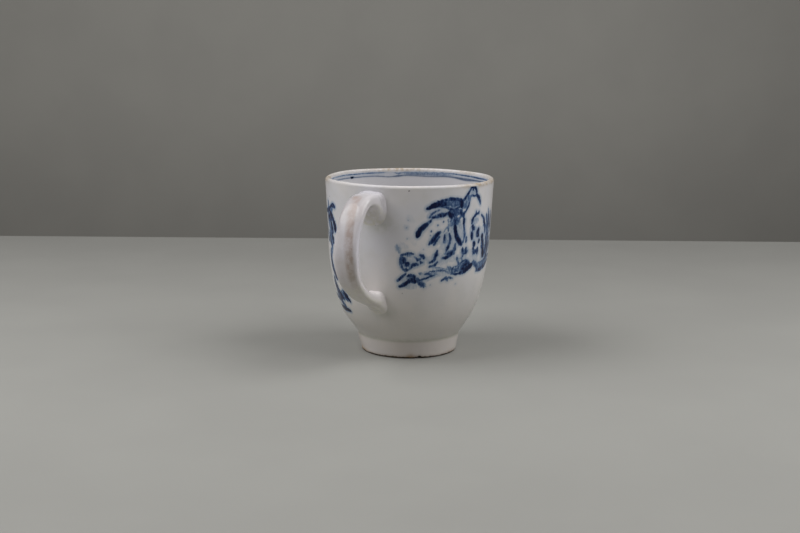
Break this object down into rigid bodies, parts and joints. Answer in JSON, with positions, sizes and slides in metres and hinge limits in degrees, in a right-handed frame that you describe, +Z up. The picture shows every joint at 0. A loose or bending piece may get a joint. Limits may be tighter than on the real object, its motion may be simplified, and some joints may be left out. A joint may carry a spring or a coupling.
{
  "type": "coffee cup",
  "caption": "Small handled porcelain coffee cup with a tall round bowl, a turned foot ring and a looped strap handle, in underglaze blue and white.",
  "frame": {"origin": "on the table, in the middle of the cup's whole length and width, handle included; the bowl's axis is 9.6 mm towards -X", "axes": "+Z up along the bowl's axis, +X out through the middle of the handle"},
  "size_m": [0.0812, 0.062, 0.065],
  "materials": {
    "bowl_glaze": "clear slightly grey-white glaze over porcelain, with underglaze cobalt blue decoration",
    "foot_glaze": "clear glaze over porcelain, bare and stained brown at the standing edge",
    "handle_glaze": "clear glaze over porcelain, with a faint pinkish brown stain on the strap"
  },
  "bodies": {
    "root": {"bowl": "bowl_glaze", "foot_ring": "foot_glaze", "handle": "handle_glaze", "upper_handle_slip": "handle_glaze", "lower_handle_slip": "handle_glaze"}
  },
  "joints": []
}
